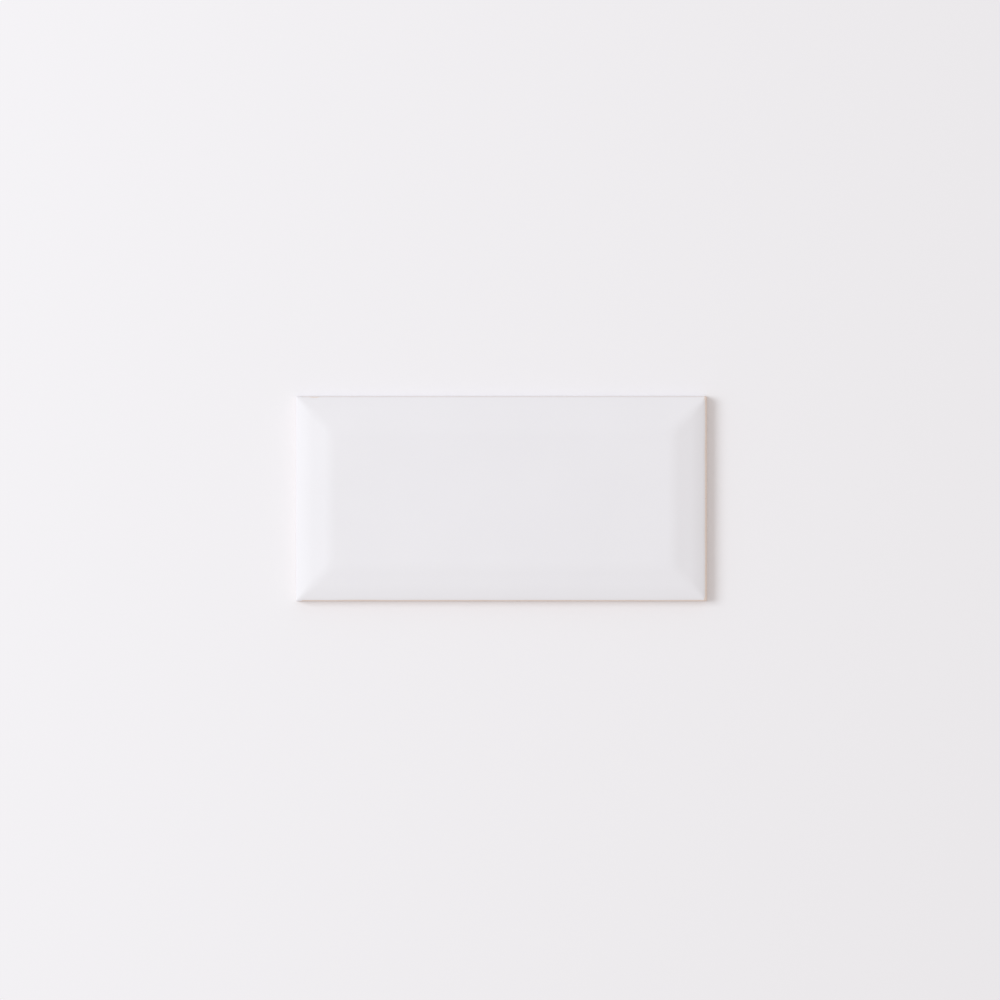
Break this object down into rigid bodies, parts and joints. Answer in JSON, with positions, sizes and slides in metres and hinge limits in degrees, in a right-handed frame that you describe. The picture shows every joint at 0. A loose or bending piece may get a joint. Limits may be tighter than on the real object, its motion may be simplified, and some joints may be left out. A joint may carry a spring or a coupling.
{
  "type": "beveled tile",
  "caption": "Rectangular glazed ceramic wall tile with a raised flat field, broad bevels that fall to the edges on all sides, and a keyed back for adhesive",
  "frame": {"origin": "middle of the back face, on the plane that beds on the wall or rests on a floor", "axes": "+X along the tile's length, +Y across its width, +Z out of the glazed face"},
  "size_m": [0.15, 0.075, 0.008],
  "materials": {
    "glaze": "satin"
  },
  "bodies": {
    "root": {"tile": "glaze"}
  },
  "joints": []
}
